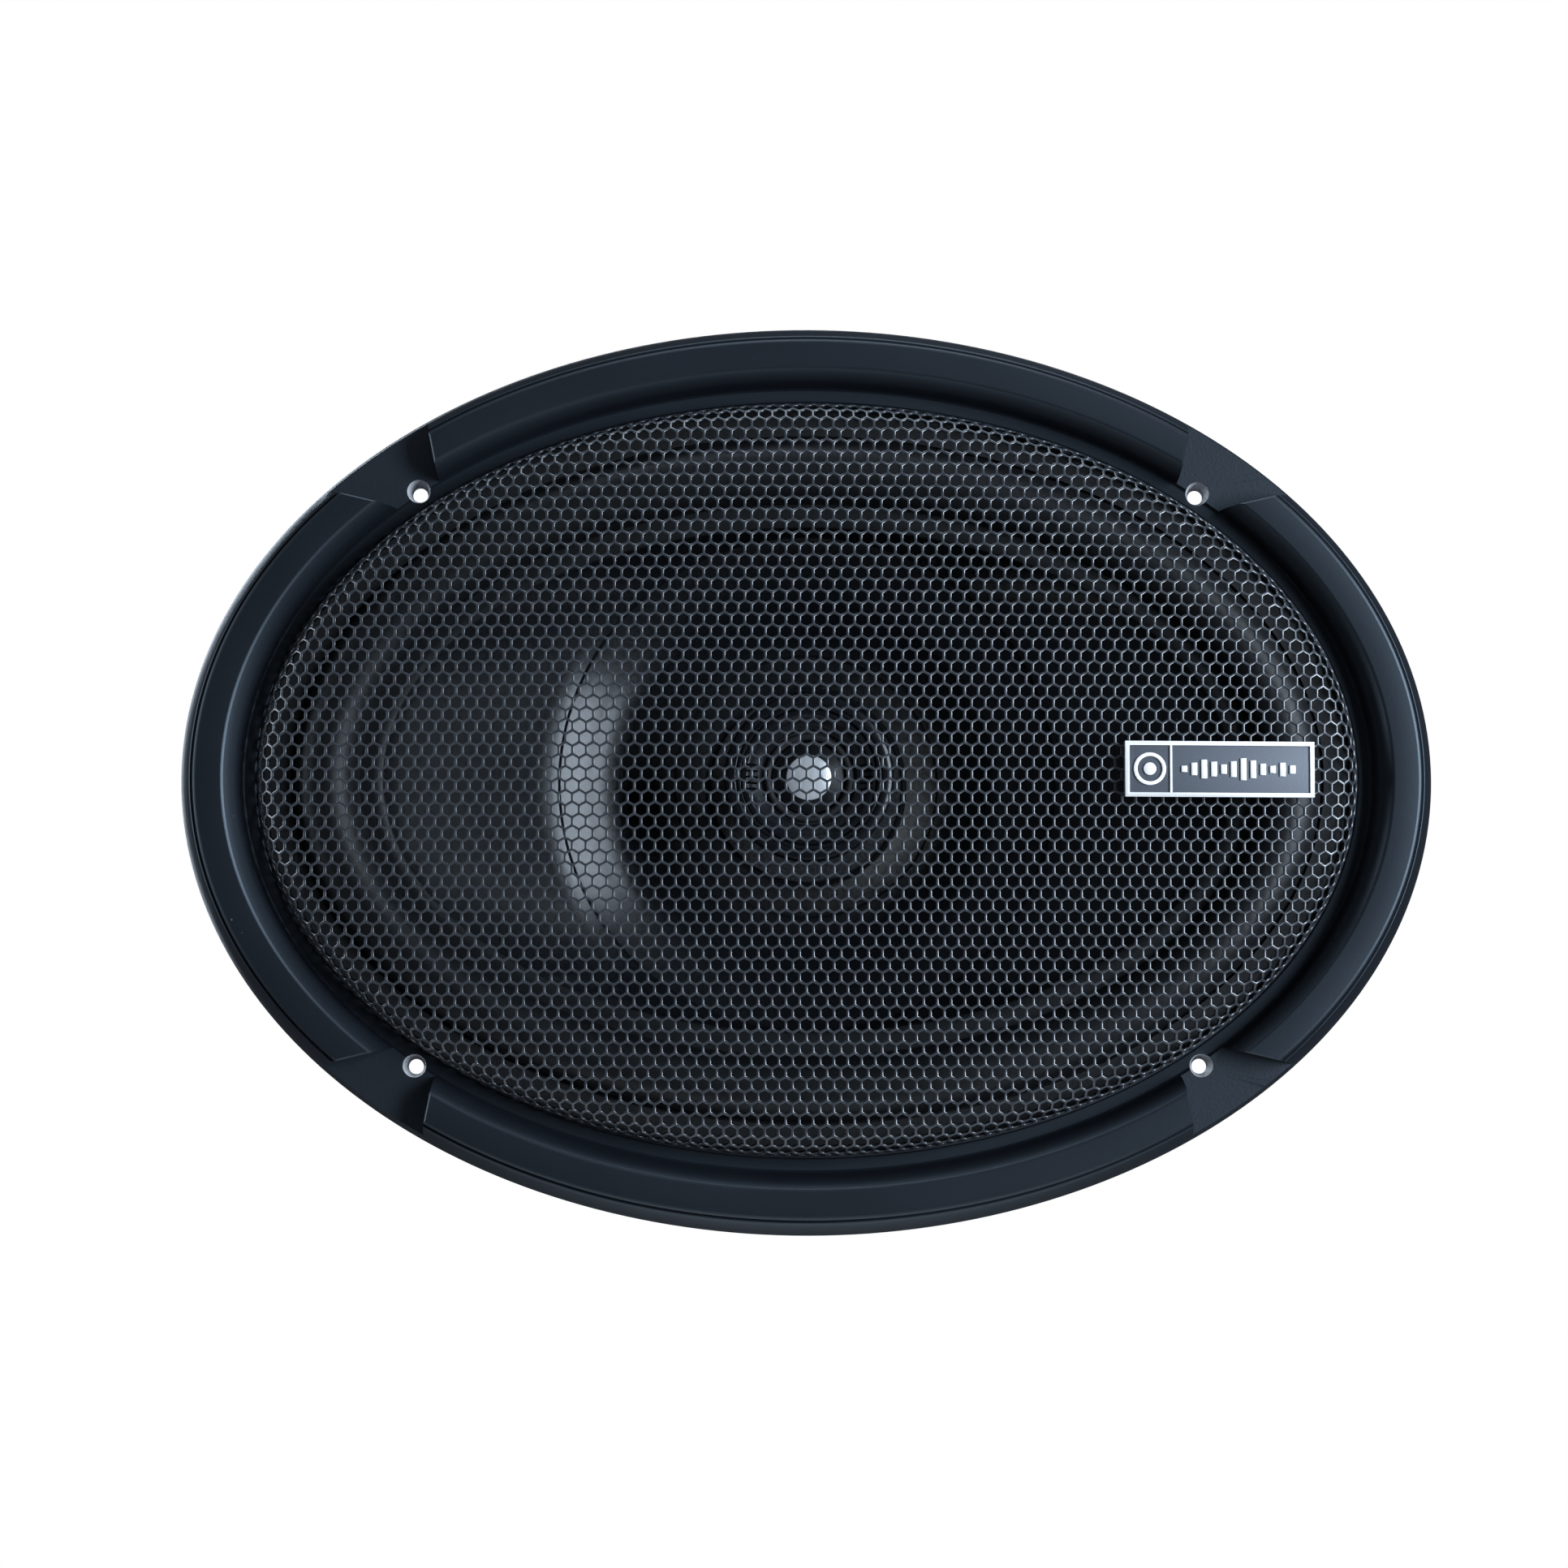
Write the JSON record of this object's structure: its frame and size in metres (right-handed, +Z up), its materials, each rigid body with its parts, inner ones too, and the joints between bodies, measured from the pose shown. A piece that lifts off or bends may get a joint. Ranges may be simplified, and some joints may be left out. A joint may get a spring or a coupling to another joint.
{
  "type": "coaxial car speaker",
  "caption": "Oval coaxial car speaker: framed perforated grille over a rubber-edged cone, with a small tweeter on a centre post and a ferrite motor behind.",
  "frame": {"origin": "centre of the mounting plane, the rear face of the basket's flange, on the acoustic axis", "axes": "-Y is the front, the way the sound leaves; +X is the long side, to the right seen from the front; +Z is up along the short side"},
  "size_m": [0.2426, 0.0947, 0.1762],
  "materials": {
    "frame_plastic": "moulded black plastic, satin, fine grain on the pads",
    "grille_black": "black powder coat on perforated steel",
    "badge_dark": "dark grey satin",
    "badge_silver": "brushed silver",
    "pin_plastic": "moulded pins",
    "basket_black": "black e-coat on pressed steel",
    "gasket_fibre": "grey fibre board",
    "surround_rubber": "matt butyl rubber",
    "cone_poly": "glossy black polypropylene",
    "spider_cloth": "resin-dipped woven cotton",
    "former_film": "amber polyimide film",
    "coil_copper": "enamelled copper wire",
    "collar_paper": "black kraft collar",
    "dust_foam": "black felt",
    "tinsel_braid": "braided copper tinsel",
    "board_phenolic": "brown phenolic board",
    "terminal_tin": "tin-plated brass",
    "rivet_steel": "zinc-plated steel",
    "capacitor_sleeve": "shrink sleeve, dark blue",
    "band_plastic": "black plastic band",
    "lead_red": "insulated wire",
    "plate_zinc": "zinc-plated low-carbon steel",
    "ferrite": "ground ferrite, dark grey",
    "yoke_black": "black-plated steel",
    "post_steel": "turned steel",
    "tweeter_plastic": "black moulded plastic",
    "tweeter_steel": "nickel-plated steel",
    "neodymium": "nickel-plated magnet",
    "dome_metal": "bright metallised film",
    "tweeter_edge": "coated silk edge"
  },
  "bodies": {
    "root": {"grille_frame": "frame_plastic", "grille_mesh": "grille_black", "badge_plate": "badge_dark", "badge_border": "badge_silver", "badge_emblem": "badge_silver", "badge_bars": "badge_silver", "badge_pins": "pin_plastic", "basket": "basket_black", "front_gasket": "gasket_fibre", "surround": "surround_rubber", "spider": "spider_cloth", "tinsel_leads": "tinsel_braid", "terminal_board": "board_phenolic", "positive_terminal": "terminal_tin", "negative_terminal": "terminal_tin", "terminal_rivets": "rivet_steel", "crossover_capacitor": "capacitor_sleeve", "capacitor_band": "band_plastic", "capacitor_leads": "lead_red", "tweeter_lead_wires": "lead_red", "top_plate": "plate_zinc", "magnet": "ferrite", "t_yoke": "yoke_black", "motor_rivets": "rivet_steel", "tweeter_post": "post_steel", "post_lock_nut": "rivet_steel", "post_washer": "rivet_steel", "tweeter_housing": "tweeter_plastic", "tweeter_yoke": "tweeter_steel", "tweeter_magnet": "neodymium", "tweeter_top_plate": "tweeter_steel", "tweeter_faceplate": "tweeter_plastic", "tweeter_surround": "tweeter_edge"},
    "cone_assembly": {"cone": "cone_poly", "neck_collar": "collar_paper", "dust_ring": "dust_foam", "voice_coil_former": "former_film", "voice_coil_winding": "coil_copper"},
    "tweeter_diaphragm": {"tweeter_dome": "dome_metal", "tweeter_voice_coil": "coil_copper"}
  },
  "joints": [
    {"name": "cone_travel", "type": "slide", "parent": "root", "child": "cone_assembly", "axis": [0, -1, 0], "range_m": [-0.005, 0.005], "stiffness_N_per_m": 3000, "deforming": ["surround", "spider", "tinsel_leads"]},
    {"name": "tweeter_travel", "type": "slide", "parent": "root", "child": "tweeter_diaphragm", "axis": [0, -1, 0], "range_m": [-0.00025, 0.00025], "stiffness_N_per_m": 5000, "deforming": ["tweeter_surround"]}
  ]
}
